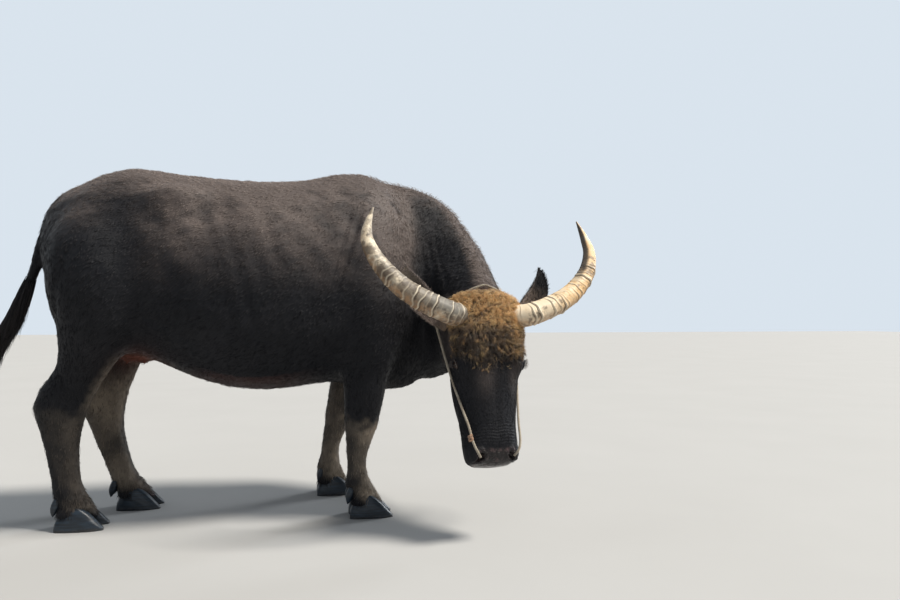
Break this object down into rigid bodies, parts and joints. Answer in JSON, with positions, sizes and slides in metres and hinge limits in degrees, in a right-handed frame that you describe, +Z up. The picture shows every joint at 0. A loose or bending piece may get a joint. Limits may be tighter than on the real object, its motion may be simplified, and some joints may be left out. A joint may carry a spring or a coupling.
{
  "type": "standing water buffalo model",
  "caption": "Life-size still model of a swamp water buffalo standing square, head lowered and turned to its right, with long swept horns, a shaggy forehead and a rope halter.",
  "frame": {"origin": "middle of the whole animal's box in plan, at the floor under its hooves", "axes": "+X from tail to chest along the body, +Y to the animal's left, +Z up"},
  "size_m": [2.098, 0.9322, 1.2593],
  "materials": {
    "hide": "dark grey-brown hide with a short glossy coat",
    "pale_hide": "grey-tan hide of the lower legs with a short coat",
    "udder": "bare reddish skin",
    "horn": "ridged pale horn, satin, darker to the tips",
    "hoof": "blue-black hoof horn, glossy with growth rings",
    "eye": "dark brown wet eye",
    "hair": "coarse black tail hair",
    "rope": "worn pale twisted cord"
  },
  "bodies": {
    "root": {"ear_left": "hide", "ear_right": "hide", "eye_left": "eye", "eye_right": "eye", "foreleg_left_claw_inner": "hoof", "foreleg_left_claw_outer": "hoof", "foreleg_left_dewclaw_inner": "hoof", "foreleg_left_dewclaw_outer": "hoof", "foreleg_left_forearm": "hide", "foreleg_left_shank": "pale_hide", "foreleg_right_claw_inner": "hoof", "foreleg_right_claw_outer": "hoof", "foreleg_right_dewclaw_inner": "hoof", "foreleg_right_dewclaw_outer": "hoof", "foreleg_right_forearm": "hide", "foreleg_right_shank": "pale_hide", "halter_knot": "rope", "halter_left": "rope", "halter_nape": "rope", "halter_right": "rope", "head": "hide", "hindleg_left_claw_inner": "hoof", "hindleg_left_claw_outer": "hoof", "hindleg_left_dewclaw_inner": "hoof", "hindleg_left_dewclaw_outer": "hoof", "hindleg_left_gaskin": "hide", "hindleg_left_shank": "pale_hide", "hindleg_right_claw_inner": "hoof", "hindleg_right_claw_outer": "hoof", "hindleg_right_dewclaw_inner": "hoof", "hindleg_right_dewclaw_outer": "hoof", "hindleg_right_gaskin": "hide", "hindleg_right_shank": "pale_hide", "horn_left": "horn", "horn_right": "horn", "neck": "hide", "tail_dock": "hide", "tail_switch": "hair", "torso": "hide", "udder": "udder"}
  },
  "joints": []
}
